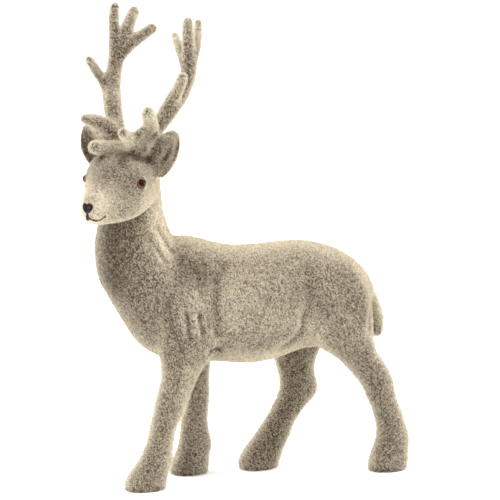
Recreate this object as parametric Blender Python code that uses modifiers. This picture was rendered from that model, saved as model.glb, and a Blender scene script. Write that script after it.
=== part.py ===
"""A flocked reindeer figurine: it stands on four feet in mid-stride and turns its antlered head to its left.

The figure is one casting, and two glossy eyes are set into it. +X is the animal's own left, -Y the way it
faces and +Z up. The origin is on the floor, under the middle of the figure. Its carving is drawn in
millimetres of a figure DRAWN_HEIGHT tall, and HEIGHT sets how tall it really is.
"""

import math

import bmesh
import bpy
import numpy as np
from mathutils import Vector

# Sizes in metres: the whole figure, from the soles to the highest antler tip, and the eyes set into it
HEIGHT = 0.275
EYE_DIAMETER = 0.0047
EYE_GAP = 0.0003

# How far an eye is sunk into the face, as a share of its radius
EYE_SINK = 0.45

# The carving's own height, and one of its millimetres in metres
DRAWN_HEIGHT = 272.24
MM = HEIGHT / DRAWN_HEIGHT

# The head's own origin lies between the eyes, a little above them; the whole head is turned about the upright
HEAD_AT = (22.3, -85.7, 179.5)
HEAD_TURN = math.radians(41)

# The skin's squares, in millimetres of the carving, and the rounds of easing over the limbs and the last seams
SKIN_GRAIN = 1.1
LIMB_EASING = 14
SEAM_EASING = 5
SKIN_TRIANGLES = 8500

# The easing draws a thin branch in by this much, so every branch is drawn that much thicker
DRAWN_IN = 0.7

RING_SIDES = 28
ROWS_BETWEEN = 4


def frame(origin, along, across_low_high, sideways):
    """A carving frame: an origin and the three directions that a section row counts in."""
    return tuple(np.array(part, float) for part in (origin, along, across_low_high, sideways))


UPRIGHT = frame((0, 0, 0), (0, 0, 1), (0, 1, 0), (1, 0, 0))
LEVEL = frame((0, 0, 0), (0, 1, 0), (0, 0, 1), (1, 0, 0))
FACING = (math.sin(HEAD_TURN), -math.cos(HEAD_TURN), 0)
HEAD_LEFT = (math.cos(HEAD_TURN), math.sin(HEAD_TURN), 0)
HEAD = frame(HEAD_AT, FACING, (0, 0, 1), HEAD_LEFT)


def in_head(forward, left, up):
    """A point given from between the eyes, in millimetres, as a point of the carving."""
    origin, facing, upward, leftward = HEAD
    return origin + forward * facing + left * leftward + up * upward


def smooth_rows(rows, between=ROWS_BETWEEN):
    """A table of stations with `between` rows put into each gap, on a Catmull-Rom curve through them."""
    rows = np.array(rows, float)
    padded = np.vstack([2 * rows[0] - rows[1], rows, 2 * rows[-1] - rows[-2]])
    before, here, after, beyond = padded[:-3], padded[1:-2], padded[2:-1], padded[3:]
    steps = np.arange(between + 1)[:, None, None] / (between + 1)
    curve = (
        here
        + 0.5 * steps * (after - before)
        + steps**2 * (before - 2.5 * here + 2 * after - 0.5 * beyond)
        + steps**3 * (1.5 * (here - after) + 0.5 * (beyond - before))
    )
    return np.vstack([curve.transpose(1, 0, 2).reshape(-1, rows.shape[1]), rows[-1]])


def rings_to_object(name, rings, collection):
    """A closed skin over rings of points, with a pole in the middle of each end."""
    count, sides = rings.shape[:2]
    points = np.vstack([rings.reshape(-1, 3), rings[0].mean(0), rings[-1].mean(0)]) * MM
    faces = []
    for ring in range(count - 1):
        for side in range(sides):
            turn = (side + 1) % sides
            low, high = ring * sides, (ring + 1) * sides
            faces.append((low + side, low + turn, high + turn, high + side))
    for side in range(sides):
        turn = (side + 1) % sides
        faces.append((count * sides, turn, side))
        faces.append((count * sides + 1, (count - 1) * sides + side, (count - 1) * sides + turn))
    mesh = bpy.data.meshes.new(name)
    mesh.from_pydata(points.tolist(), [], faces)
    solid = bmesh.new()
    solid.from_mesh(mesh)
    bmesh.ops.recalc_face_normals(solid, faces=solid.faces)
    solid.to_mesh(mesh)
    solid.free()
    made = bpy.data.objects.new(name, mesh)
    collection.objects.link(made)
    return made


def loft(name, rows, axes, collection, roundness=2.0):
    """A limb through section rows: (place along, low edge, high edge, sideways centre, half width).

    Each section is a superellipse, cos^(2/n) by sin^(2/n), where n is the roundness: 2 is an ellipse.
    """
    origin, along, upward, sideways = axes
    place, low, high, side, half_width = smooth_rows(rows).T[:, :, None]
    angle = np.linspace(0, 2 * np.pi, RING_SIDES, endpoint=False)
    wide = np.sign(np.cos(angle)) * np.abs(np.cos(angle)) ** (2 / roundness)
    tall = np.sign(np.sin(angle)) * np.abs(np.sin(angle)) ** (2 / roundness)
    middle, half_height = (low + high) / 2, np.maximum((high - low) / 2, 0.2)
    rings = (
        origin
        + place[..., None] * along
        + (middle + half_height * tall)[..., None] * upward
        + (side + np.maximum(half_width, 0.2) * wide)[..., None] * sideways
    )
    return rings_to_object(name, rings, collection)


# Section rows. Legs and neck: (height, front, back, sideways, half width), from the top down.
NEAR_FORE_LEG = (
    (126, -48, -40, 10, 3),
    (117, -57, -34, 13, 6.6),
    (107, -61, -29.5, 14.5, 8.4),
    (97, -61.5, -26.5, 15.5, 9.4),
    (85, -59.5, -23.5, 16, 9.8),
    (76, -57.8, -27.5, 15.5, 9),
    (68, -56.5, -34, 15, 8),
    (60, -57.5, -38, 15, 7.5),
    (52, -59.8, -41, 14.5, 7),
    (43, -61.9, -44.3, 14.5, 6.8),
    (34, -63.5, -48.8, 14, 6.6),
    (27, -65.3, -49.8, 13.5, 6),
    (20, -68.3, -50.2, 13.5, 6.2),
    (15, -71.1, -50.6, 13.5, 6.8),
    (9, -75.6, -53.4, 13, 7.6),
    (4, -78.2, -54.6, 13, 8),
    (0, -78, -55, 13, 7.8),
    (-4, -76, -56, 13, 7),
)
FAR_FORE_LEG = (
    (126, -48, -40, -10, 3),
    (117, -57, -34, -13, 6.6),
    (107, -61, -29.5, -14.5, 8.4),
    (97, -60.5, -26.5, -15.5, 9.2),
    (85, -55, -21.5, -16, 9),
    (76, -50, -19.5, -15.5, 8.5),
    (66, -43.6, -19.5, -15, 8),
    (56, -38.6, -20.8, -14.5, 7.3),
    (44, -34.8, -20.7, -14, 6.8),
    (31, -37, -21.9, -13.5, 6.5),
    (20, -38, -19.9, -13.5, 6.2),
    (16, -39, -19, -13.5, 6.6),
    (11, -40.8, -20.8, -13.5, 7.4),
    (6, -42.6, -21, -13.5, 8),
    (2, -44.2, -21.4, -13.5, 8),
    (0, -43.6, -22, -13.5, 7.8),
    (-4, -41, -24, -13.5, 7),
)
NEAR_HIND_LEG = (
    (127, 48, 54, 7, 2),
    (120, 42, 60, 10, 6),
    (108, 33, 67, 13, 9),
    (96, 30.5, 68.5, 14.5, 10),
    (84, 31.5, 68.7, 15.5, 9.7),
    (76, 36.5, 69.7, 15.5, 9),
    (72, 42.8, 70.9, 15.5, 8.5),
    (67.5, 48.9, 73.5, 15.5, 8),
    (62.5, 53.9, 77.1, 15.5, 7.5),
    (57, 58.7, 80.4, 15.5, 7),
    (50, 63.5, 82.1, 15.5, 6.6),
    (42, 67.1, 83.9, 15.5, 6.2),
    (34, 70.5, 87.4, 15, 6.2),
    (27, 72.2, 89.8, 15, 6.4),
    (20, 72.4, 91.9, 15, 6.8),
    (13, 70.2, 91.9, 14.5, 7.4),
    (6, 68, 91.5, 14.5, 8),
    (1, 67.8, 90.5, 14.5, 8),
    (-4, 69, 87, 14.5, 7),
)
FAR_HIND_LEG = (
    (127, 48, 54, -7, 2),
    (120, 42, 60, -10, 6),
    (108, 33, 65, -13, 9),
    (96, 27, 62, -14.5, 10),
    (84, 22, 58, -15.5, 9.5),
    (76, 19, 53, -15.5, 9),
    (71, 18.5, 49, -15, 8.5),
    (65, 19.6, 45.5, -14.5, 8),
    (58, 21.3, 43.5, -14, 7.3),
    (52, 22.8, 44.5, -14, 6.8),
    (46.5, 22.8, 46, -13.5, 6.6),
    (42, 21, 45, -13, 6.3),
    (38, 19, 41.4, -13, 6.2),
    (33, 16.5, 36, -12.5, 6.2),
    (25.5, 11.6, 31, -12.5, 6.4),
    (16, 4.5, 27.2, -12.5, 6.8),
    (11, 0.4, 24, -12, 7.4),
    (7, -2.3, 22.8, -12, 8),
    (2, -3.1, 21, -12, 8),
    (-4, 0.5, 18, -12, 7),
)
NECK = (
    (188, -74, -66, 8, 4),
    (185, -78, -60.5, 7, 9),
    (178, -81, -56.4, 5, 12.5),
    (170, -85.5, -54, 3.5, 14.5),
    (160, -87, -52.9, 1.5, 15.5),
    (152, -88.3, -50.4, 0.5, 16.5),
    (145, -89.2, -48.1, 0, 17.5),
    (137, -90.4, -44.1, 0, 18.5),
    (127, -89.6, -38, 0, 20),
    (119, -88, -32, 0, 20.5),
    (111, -83.8, -28, 0, 21),
    (102, -78.6, -26, 0, 21),
    (92, -72.8, -26, 0, 20),
    (83, -66.8, -28, 0, 18),
    (78, -61, -32, 0, 14),
    (74.5, -55, -36, 0, 8),
)
TAIL = (
    (121, 60, 64, 0, 2.5),
    (115, 61, 70, 0, 5),
    (108, 65, 73.8, 0, 6),
    (101, 64, 77, 0, 6.5),
    (92, 66, 80.2, 0, 7),
    (86, 68.5, 81.4, 0, 7),
    (80, 72, 81, 0, 6.2),
    (76, 75.5, 80, 0, 3.6),
)

# The torso: (place from front to back, belly, back, sideways, half width)
TORSO = (
    (-67, 91, 120, 0, 13),
    (-57, 76.5, 136, 0, 18.6),
    (-46, 71.5, 141, 0, 20),
    (-35, 70.2, 141, 0, 21),
    (-21, 69.2, 136.8, 0, 22.5),
    (-9, 67.5, 134.4, 0, 23.5),
    (0, 66.9, 134.2, 0, 24),
    (9, 67.7, 134.6, 0, 24),
    (18, 69.9, 135, 0, 23.5),
    (30, 73.5, 135.2, 0, 22.5),
    (42.5, 74, 132.8, 0, 21.5),
    (55, 77, 127.8, 0, 20),
    (62.4, 84, 122.4, 0, 17),
    (68.8, 92, 115.8, 0, 11),
    (72.7, 100, 110, 0, 4),
)

# The head: (forward of the eyes, throat, crown, sideways, half width)
SKULL = (
    (-30, -8, 4, 0, 5),
    (-27, -13, 9, 0, 11.5),
    (-20, -18, 13.5, 0, 17.6),
    (-12, -21, 15.5, 0, 19.7),
    (-5, -22.8, 14.6, 0, 19.8),
    (0, -23.5, 12.6, 0, 18.9),
    (4, -23.7, 9.6, 0, 15.3),
    (9, -23.6, 5.4, 0, 10.7),
    (14, -23.2, 1.4, 0, 8),
    (19, -22.6, -1.8, 0, 6.3),
    (22.5, -21.6, -4.2, 0, 5.6),
    (25, -19.6, -5.8, 0, 4.3),
    (26.8, -17, -7.6, 0, 2.4),
)

# Antler branches: (forward of the eyes, to the left, above the eyes, radius), from root to tip
RIGHT_ANTLER = (
    (
        (-19, -8, 8, 5.4),
        (-21, -10, 16.5, 4.8),
        (-21.7, -11.8, 22, 4.6),
        (-25.4, -16.2, 29.5, 4.4),
        (-30, -20.7, 39, 4.8),
        (-35, -24.3, 46, 4.7),
        (-40, -25.7, 55, 4.1),
        (-41.5, -25.6, 61, 4),
        (-42, -25.7, 67, 4),
        (-41.5, -26.5, 76.4, 3),
        (-41, -26.6, 83, 2.9),
        (-41, -25.6, 90, 2.5),
    ),
    ((-42, -25.4, 65, 3.8), (-48, -23.6, 74.3, 3.4), (-53, -23.7, 81, 3.3), (-57, -23.6, 86.1, 2.9)),
    ((-41.7, -25.2, 61, 3.7), (-45.5, -21, 67, 3.4), (-50.3, -15.1, 72.9, 3.1), (-55, -10, 77.5, 2.8)),
    ((-34, -25, 43.5, 3.6), (-31.4, -27.8, 49.4, 2.9), (-28, -30.2, 55.2, 2.7), (-25, -32.4, 61, 2.2)),
    ((-20.8, -11, 20.5, 4.3), (-13.8, -14.6, 26.6, 4.2), (-7, -17.5, 29.8, 3.5), (-2, -19.6, 31.3, 2.5)),
    ((-17, -7, 13.6, 4), (-8, -7.2, 15.1, 3.8), (0.7, -7.5, 16.2, 3.6), (6.8, -7.8, 17.3, 3.1)),
)
LEFT_ANTLER = (
    (
        (-18.8, 7.5, 9, 5.6),
        (-20.5, 8.5, 16.5, 5.2),
        (-21, 12.2, 23.6, 4.4),
        (-24, 16.5, 30.4, 4.2),
        (-28.4, 19.6, 36.6, 4.3),
        (-33.7, 21.2, 42.8, 4.4),
        (-38, 22.3, 49.2, 4.2),
        (-40.5, 23.2, 55, 4),
        (-41.5, 23, 60.5, 3.8),
        (-41.3, 22.6, 68.6, 3.2),
        (-40.8, 22.7, 76.6, 3),
        (-40.5, 22.9, 83.3, 2.6),
    ),
    ((-41.4, 23.4, 58.5, 3.1), (-47.4, 23.5, 68, 2.5), (-53, 21.5, 74.6, 2.2), (-57, 19.3, 81.8, 1.9)),
    ((-40.5, 22.9, 56.5, 3), (-44, 16.8, 64, 2.4), (-49.5, 10.6, 69.8, 2.1), (-55, 5.3, 74, 1.9)),
    ((-28, 15, 33, 3.4), (-26.3, 20.4, 40, 3.3), (-24.4, 26.3, 47.5, 3.1), (-23, 30.4, 54.6, 2.6)),
    ((-20.3, 12, 21, 3.9), (-13, 16.4, 27.6, 3.6), (-6, 20, 33.5, 3.5), (-0.6, 22.5, 37.5, 3)),
    ((-17, 6.6, 14, 4.4), (-7, 8.5, 19.5, 3.4), (1.8, 10.6, 23.6, 3), (8, 12, 26.6, 2.5)),
    ((-18, 10, 17, 4), (-11, 12, 22, 3.2), (-6, 13.5, 25, 2.4)),
)

# The ears: where the left and right ones grow from, and which way they point (forward, outward, up)
EAR_ROOTS = {"left": (-12.5, 18.1, 1.7), "right": (-15.5, -17, 3.5)}
EAR_POINTS = {"left": (-3.6, 10.3, 20.8), "right": (-4, -13.8, 20.3)}
EAR_LENGTH = 27.5
EAR_HALF_WIDTH = 8.8
EAR_CUP = 5.4
EAR_WALL = 3

# The eyes: the spot on the face, forward of the head's origin, out from it and above it, and which way they look
EYE_SPOT = (0.3, 18.8, -1.6)
EYE_LOOKS = math.radians(32)


def linked(name, mesh, collection):
    """A new object for a mesh, in the collection."""
    made = bpy.data.objects.new(name, mesh)
    collection.objects.link(made)
    return made


def settled(piece, collection):
    """The same object as a plain closed mesh: its modifiers are worked in, and a curve becomes a mesh."""
    graph = bpy.context.evaluated_depsgraph_get()
    mesh = bpy.data.meshes.new_from_object(piece.evaluated_get(graph))
    solid = bmesh.new()
    solid.from_mesh(mesh)
    bmesh.ops.remove_doubles(solid, verts=solid.verts, dist=0.01 * MM)
    bmesh.ops.recalc_face_normals(solid, faces=solid.faces)
    solid.to_mesh(mesh)
    solid.free()
    name = piece.name
    bpy.data.objects.remove(piece)
    return linked(name, mesh, collection)


def branch(name, path, collection):
    """A round antler branch along a smooth path of (forward, left, up, radius), which tapers on the way."""
    curve = bpy.data.curves.new(name, "CURVE")
    curve.dimensions = "3D"
    curve.bevel_depth = MM
    curve.bevel_resolution = 3
    curve.use_fill_caps = True
    stations = smooth_rows(path)
    line = curve.splines.new("POLY")
    line.points.add(len(stations) - 1)
    for point, (forward, left, up, radius) in zip(line.points, stations):
        point.co = (*(in_head(forward, left, up) * MM), 1)
        point.radius = radius + DRAWN_IN
    return settled(linked(name, curve, collection), collection)


def ball(name, centre, radius, collection, segments=24):
    """A ball: its centre in millimetres of the carving, its radius in metres."""
    mesh = bpy.data.meshes.new(name)
    solid = bmesh.new()
    bmesh.ops.create_uvsphere(solid, u_segments=segments, v_segments=segments // 2, radius=radius)
    bmesh.ops.translate(solid, verts=solid.verts, vec=Vector(centre) * MM)
    solid.to_mesh(mesh)
    solid.free()
    return linked(name, mesh, collection)


def ear(side, collection):
    """A cupped leaf that opens forward: its half width swells and closes along it, and its edges curl in."""
    root = in_head(*EAR_ROOTS[side])
    axis = in_head(*EAR_POINTS[side]) - HEAD[0]
    axis /= np.linalg.norm(axis)
    opens = HEAD[1] - axis * (HEAD[1] @ axis)
    opens /= np.linalg.norm(opens)
    across = np.cross(axis, opens)
    lengthways, crossways = np.meshgrid(np.linspace(0, 1, 17), np.linspace(-1, 1, 13), indexing="ij")
    half_width = EAR_HALF_WIDTH * np.sin(np.pi * (0.14 + 0.84 * lengthways)) ** 0.62
    cup = EAR_CUP * (crossways**2 - 0.6) * np.sin(np.pi * (0.1 + 0.8 * lengthways))
    points = (
        root
        + (EAR_LENGTH * lengthways)[..., None] * axis
        + (half_width * crossways)[..., None] * across
        + cup[..., None] * opens
    )
    rows, columns = lengthways.shape
    faces = [
        (r * columns + c, r * columns + c + 1, (r + 1) * columns + c + 1, (r + 1) * columns + c)
        for r in range(rows - 1)
        for c in range(columns - 1)
    ]
    mesh = bpy.data.meshes.new(side + "_ear")
    mesh.from_pydata((points.reshape(-1, 3) * MM).tolist(), [], faces)
    leaf = linked(side + "_ear", mesh, collection)
    wall = leaf.modifiers.new("wall", "SOLIDIFY")
    wall.thickness = EAR_WALL * MM
    wall.offset = 0
    return settled(leaf, collection)


def joined(name, pieces, collection):
    """One object that holds the meshes of all the pieces; they still overlap."""
    solid = bmesh.new()
    for piece in pieces:
        solid.from_mesh(piece.data)
        bpy.data.objects.remove(piece)
    mesh = bpy.data.meshes.new(name)
    solid.to_mesh(mesh)
    solid.free()
    return linked(name, mesh, collection)


def one_skin(piece, rounds, collection):
    """Overlapping limbs under one skin of small squares, with the seams between them eased."""
    skin = piece.modifiers.new("skin", "REMESH")
    skin.mode = "VOXEL"
    skin.voxel_size = SKIN_GRAIN * MM
    ease = piece.modifiers.new("ease", "SMOOTH")
    ease.factor = 0.5
    ease.iterations = rounds
    return settled(piece, collection)


def material(name, colour, roughness):
    made = bpy.data.materials.new(name)
    made.use_nodes = True
    shader = made.node_tree.nodes["Principled BSDF"]
    shader.inputs["Base Color"].default_value = (*colour, 1)
    shader.inputs["Roughness"].default_value = roughness
    return made


def body(collection):
    """The torso, neck, tail and legs, drawn so that each runs well into its neighbour."""
    limbs = [
        loft("torso", TORSO, LEVEL, collection, 2.25),
        loft("neck", NECK, UPRIGHT, collection),
        loft("near_fore_leg", NEAR_FORE_LEG, UPRIGHT, collection, 2.2),
        loft("far_fore_leg", FAR_FORE_LEG, UPRIGHT, collection, 2.2),
        loft("near_hind_leg", NEAR_HIND_LEG, UPRIGHT, collection, 2.2),
        loft("far_hind_leg", FAR_HIND_LEG, UPRIGHT, collection, 2.2),
        loft("tail", TAIL, UPRIGHT, collection),
    ]
    return one_skin(joined("trunk", limbs, collection), LIMB_EASING, collection)


def head_pieces(collection):
    """The skull, both ears and every branch of the antlers, each branch with a rounded tip."""
    pieces = [loft("skull", SKULL, HEAD, collection, 2.4)]
    for side, antler in (("left", LEFT_ANTLER), ("right", RIGHT_ANTLER)):
        for number, path in enumerate(antler):
            pieces.append(branch(f"{side}_branch_{number}", path, collection))
            forward, left, up, radius = path[-1]
            tip = in_head(forward, left, up)
            pieces.append(ball(f"{side}_tip_{number}", tip, (radius + DRAWN_IN) * MM, collection))
        pieces.append(ear(side, collection))
    return pieces


def eye_centre(outward):
    """The middle of an eye, sunk into the face from its spot; outward is 1 for the left eye, -1 for the right."""
    sunk = EYE_SINK * EYE_DIAMETER / 2 / MM
    forward = EYE_SPOT[0] - sunk * math.sin(EYE_LOOKS)
    left = EYE_SPOT[1] - sunk * math.cos(EYE_LOOKS)
    return in_head(forward, outward * left, EYE_SPOT[2])


def floor_block(collection):
    """Everything below the floor, a little wider than the figure."""
    mesh = bpy.data.meshes.new("floor_cutter")
    solid = bmesh.new()
    bmesh.ops.create_cube(solid, size=HEIGHT)
    bmesh.ops.translate(solid, verts=solid.verts, vec=(0, 0, -HEIGHT / 2))
    solid.to_mesh(mesh)
    solid.free()
    return linked("floor_cutter", mesh, collection)


def cut_away(piece, cutter):
    """Takes a cutter's form out of a piece, and shows the cutter as wire only."""
    cut = piece.modifiers.new(cutter.name, "BOOLEAN")
    cut.operation = "DIFFERENCE"
    cut.solver = "EXACT"
    cut.object = cutter
    cutter.hide_render = True
    cutter.display_type = "WIRE"


def stand_over_origin(solids, others):
    """Moves every object so that the solids' box stands on the floor with its middle over the origin."""
    corners = np.array([vertex.co for solid in solids for vertex in solid.data.vertices])
    low, high = corners.min(0), corners.max(0)
    shift = Vector((-(low[0] + high[0]) / 2, -(low[1] + high[1]) / 2, -low[2]))
    for thing in (*solids, *others):
        for vertex in thing.data.vertices:
            vertex.co += shift


def main():
    for thing in list(bpy.data.objects):
        bpy.data.objects.remove(thing)
    figurine = bpy.data.collections.new("reindeer_figurine")
    cutters = bpy.data.collections.new("cutters")
    for collection in (figurine, cutters):
        bpy.context.scene.collection.children.link(collection)

    limbs = joined("reindeer", [body(figurine), *head_pieces(figurine)], figurine)
    reindeer = one_skin(limbs, SEAM_EASING, figurine)
    thin = reindeer.modifiers.new("thin", "DECIMATE")
    thin.ratio = SKIN_TRIANGLES / (2 * len(reindeer.data.polygons))
    sockets = [
        ball(f"{side}_socket_cutter", eye_centre(outward), EYE_DIAMETER / 2 + EYE_GAP, cutters)
        for side, outward in (("left", 1), ("right", -1))
    ]
    floor = floor_block(cutters)
    for cutter in (floor, *sockets):
        cut_away(reindeer, cutter)
    reindeer = settled(reindeer, figurine)
    reindeer.data.materials.append(material("flocked_plastic", (0.42, 0.36, 0.27), 1.0))

    eye_gloss = material("glossy_eye", (0.02, 0.012, 0.008), 0.08)
    eyes = []
    for side, outward in (("left", 1), ("right", -1)):
        eye = ball(f"eye_{side}", eye_centre(outward), EYE_DIAMETER / 2, figurine, segments=16)
        eye.data.materials.append(eye_gloss)
        eyes.append(eye)
    for piece in (reindeer, *eyes):
        piece.data.shade_smooth()
        piece.data.set_sharp_from_angle(angle=math.radians(50))
    stand_over_origin([reindeer, *eyes], [floor, *sockets])


if __name__ == "__main__":
    main()
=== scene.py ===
# %% [markdown]
# # A flocked reindeer, dressed for its picture
# The real object is a hollow moulded animal with short fibres glued all over it. Paint is then blown over the
# fibres, and two small glossy eyes are set into the face. The solid model already has its size and pose, so
# this lesson gives it what a maker adds afterwards: softer carving, flock, paint and eyes.

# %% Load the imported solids
import math

import bmesh
import bpy
import numpy as np
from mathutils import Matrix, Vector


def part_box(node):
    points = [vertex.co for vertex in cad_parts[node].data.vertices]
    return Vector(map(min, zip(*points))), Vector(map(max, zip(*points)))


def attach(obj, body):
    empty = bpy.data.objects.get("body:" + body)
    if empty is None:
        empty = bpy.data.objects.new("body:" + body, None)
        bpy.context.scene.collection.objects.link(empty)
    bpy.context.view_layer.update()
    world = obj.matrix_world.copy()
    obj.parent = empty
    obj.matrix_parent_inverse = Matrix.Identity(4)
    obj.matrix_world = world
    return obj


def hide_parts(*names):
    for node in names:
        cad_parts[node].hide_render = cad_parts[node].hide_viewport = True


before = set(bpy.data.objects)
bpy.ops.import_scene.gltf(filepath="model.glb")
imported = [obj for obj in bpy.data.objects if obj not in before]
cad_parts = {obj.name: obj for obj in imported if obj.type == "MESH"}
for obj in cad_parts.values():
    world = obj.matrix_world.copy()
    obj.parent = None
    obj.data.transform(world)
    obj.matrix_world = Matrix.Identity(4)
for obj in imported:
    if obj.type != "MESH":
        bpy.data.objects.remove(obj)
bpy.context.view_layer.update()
MM = 0.001

# %% [markdown]
# ## Where the head is
# The head is turned to the animal's left, so its details are easiest to place in directions of its own:
# forward along the muzzle, to the animal's left, and up. They are counted in millimetres from a point
# midway between the eyes and a little above them, the same as in the solid's own source.

# %% The head's own directions
HEAD_ORIGIN = np.array((19.55, -78.67, 181.32))
HEAD_TURN = math.radians(41)
FORWARD = np.array((math.sin(HEAD_TURN), -math.cos(HEAD_TURN), 0))
LEFTWARD = np.array((math.cos(HEAD_TURN), math.sin(HEAD_TURN), 0))
UPWARD = np.array((0, 0, 1.0))


def from_head(spots):
    """Points given as forward, left, up of the eyes, turned into points of the figure."""
    spots = np.atleast_2d(np.array(spots, float))
    return HEAD_ORIGIN + spots @ np.stack([FORWARD, LEFTWARD, UPWARD])


def to_head(points):
    """The other way round: how far forward, left and up of the eyes each point of the figure lies."""
    return (points - HEAD_ORIGIN) @ np.stack([FORWARD, LEFTWARD, UPWARD]).T


eye_middles = {}
for side in ("left", "right"):
    low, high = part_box("eye_" + side)
    eye_middles[side] = (np.array(low) + np.array(high)) / 2 / MM
    eye_radius = (high[2] - low[2]) / 2 / MM
    print("eye", side, "in the head:", to_head(eye_middles[side]).round(2), "radius", round(eye_radius, 2))

# %% [markdown]
# ## A finer skin
# The solid's skin has few, large triangles. A copy is merged into one closed mesh and cut into squares of a
# millimetre by the Remesh modifier, because soft carving and a pile need points to move. Cutting the old
# triangles up would be another way, but their sizes differ too much for an even pile.

# %% Copy, merge and remesh the figure
SKIN_SQUARE = 1.0
SAME_POINT = 0.005


def mesh_points(mesh):
    """All points of a mesh in millimetres, as one array."""
    points = np.empty(len(mesh.vertices) * 3)
    mesh.vertices.foreach_get("co", points)
    return points.reshape(-1, 3) / MM


def put_points(mesh, points):
    """Writes points in millimetres back into the mesh."""
    mesh.vertices.foreach_set("co", (points * MM).ravel())
    mesh.update()


def apply_modifiers(piece):
    """Works the piece's modifiers into its mesh."""
    graph = bpy.context.evaluated_depsgraph_get()
    mesh = bpy.data.meshes.new_from_object(piece.evaluated_get(graph))
    piece.modifiers.clear()
    piece.data = mesh


def edited(piece, work):
    """Opens the piece's mesh for editing, does the work on it, and closes it again."""
    editor = bmesh.new()
    editor.from_mesh(piece.data)
    work(editor)
    editor.to_mesh(piece.data)
    editor.free()
    piece.data.update()


figure = bpy.data.objects.new("flocked_figure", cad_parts["reindeer"].data.copy())
bpy.context.scene.collection.objects.link(figure)
edited(figure, lambda editor: bmesh.ops.remove_doubles(editor, verts=editor.verts, dist=SAME_POINT * MM))
skin = figure.modifiers.new("skin", "REMESH")
skin.mode = "VOXEL"
skin.voxel_size = SKIN_SQUARE * MM
apply_modifiers(figure)
print("skin points:", len(figure.data.vertices))

# %% [markdown]
# ## Rounder forms
# The new skin still shows the solid's large flats. Each point moves towards the middle of its neighbours and
# then a little further back again. That irons the flats out, and unlike plain smoothing it doesn't make the
# antlers thinner.

# %% Iron out the flats
EASING_ROUNDS = 14


def eased(mesh, points, rounds, share=0.5, back=0.52):
    """Moves each point a share of the way to the mean of its neighbours, then back by a little more."""
    edges = np.empty(len(mesh.edges) * 2, int)
    mesh.edges.foreach_get("vertices", edges)
    start, end = edges.reshape(-1, 2).T
    count = np.bincount(start, minlength=len(points)) + np.bincount(end, minlength=len(points))
    for step in [share, -back] * rounds:
        total = np.empty_like(points)
        for axis in range(3):
            total[:, axis] = np.bincount(start, points[end, axis], len(points))
            total[:, axis] += np.bincount(end, points[start, axis], len(points))
        points = points + step * (total / count[:, None] - points)
    return points


flat_skin = mesh_points(figure.data)
put_points(figure.data, eased(figure.data, flat_skin, EASING_ROUNDS))
moved = np.linalg.norm(mesh_points(figure.data) - flat_skin, axis=1)
print("moved by the easing, mm, at most:", round(float(moved.max()), 2))

# %% [markdown]
# ## More points where the face is small
# The nose, the mouth and the rims of the eyes are only a millimetre or two wide. The squares near them are
# cut in four twice over, so that painted edges and the lids come out crisp.

# %% Cut the face's squares finer
FACE_MIDDLE = 0.9
# Half the nose's outline: across from the face's middle, and up. Its two ends lie past the middle.
NOSE_HALF = (
    (-1, -9.8), (0, -10.6), (1.3, -10.1), (2.5, -10.6), (3.1, -12),
    (2.7, -13.8), (1.6, -15.2), (0.7, -15.8), (0, -15.9), (-1, -15.9),
)
NOSE_PATH = ((26.9, 0.9, -9.8), (25.4, 3.9, -11.5), (26.2, 2.9, -15.2), (26.8, 0.9, -15.9))
PHILTRUM = ((26.8, 1.0, -15.6), (26.4, 0.9, -17.4))
MOUTH = ((26.4, 0.9, -17.4), (24.6, 2, -19.4), (21.7, 3.8, -20.5), (19.3, 4.8, -19.9), (17.2, 6.0, -18.4))
LINE_WIDTH = 1.35
FINE_BESIDE_LINES = 2
FINE_BESIDE_EYES = 2.2
FINER_CUTS = 2


def mirrored(path, middle=0):
    """The same path on the other half of the head, as far from the middle."""
    return tuple((forward, 2 * middle - left, up) for forward, left, up in path)


FACE_LINES = (NOSE_PATH, mirrored(NOSE_PATH, FACE_MIDDLE), PHILTRUM, MOUTH, mirrored(MOUTH, FACE_MIDDLE))


def how_far(points, path):
    """The distance from each point to a path of straight stretches between the given spots."""
    path = np.array(path, float)
    nearest = np.full(len(points), np.inf)
    for start, end in zip(path[:-1], path[1:]):
        stretch = end - start
        along = np.clip((points - start) @ stretch / (stretch @ stretch), 0, 1)
        nearest = np.minimum(nearest, np.linalg.norm(points - start - along[:, None] * stretch, axis=1))
    return nearest


def needs_more(points):
    """Which points lie at the nose, the mouth or the rim of an eye."""
    near = np.zeros(len(points), bool)
    for path in FACE_LINES:
        near |= how_far(points, from_head(path)) < FINE_BESIDE_LINES
    for middle in eye_middles.values():
        near |= np.linalg.norm(points - middle, axis=1) < eye_radius + FINE_BESIDE_EYES
    return near


def cut_finer(editor):
    """Cuts every edge between two marked points in half, and fills the squares with a grid."""
    chosen = needs_more(np.array([point.co[:] for point in editor.verts]) / MM)
    editor.edges.ensure_lookup_table()
    ends = [(edge, edge.verts[0].index, edge.verts[1].index) for edge in editor.edges]
    edges = [edge for edge, first, second in ends if chosen[first] and chosen[second]]
    bmesh.ops.subdivide_edges(editor, edges=edges, cuts=1, use_grid_fill=True)


for repeat in range(FINER_CUTS):
    edited(figure, cut_finer)
print("skin points with the finer face:", len(figure.data.vertices))

# %% [markdown]
# ## Soft carving
# Under the pile the moulding has folds at the shoulder, behind it, at the elbow, on the neck and in front of
# the thigh, and the ribs, the thigh and the shoulder blade bulge. Each is a path on the skin. A point moves
# along its own normal, in where the depth is negative, and the move fades with its distance from the path as
# a bell curve, which is what a rounded carving tool leaves. The lids rise round the eyes. The whole skin also
# sinks by a third of a millimetre, so that the fibres added later stand only a little past the solid.

# %% Folds of the body and the head
FIBRE_ROOM = 0.35
BODY_MIDDLE = -3
LID_RISE = 0.3
LID_OUT = 0.9
LID_WIDTH = 0.7
# A deep, narrow fold is also painted darker, painted shade over three quarters of its width, and a bulge is
# painted paler, a painted highlight.
FOLD_SHADING = 0.75
TONE_WIDTH = 0.75
TONE_POWER = 1.5
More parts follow.
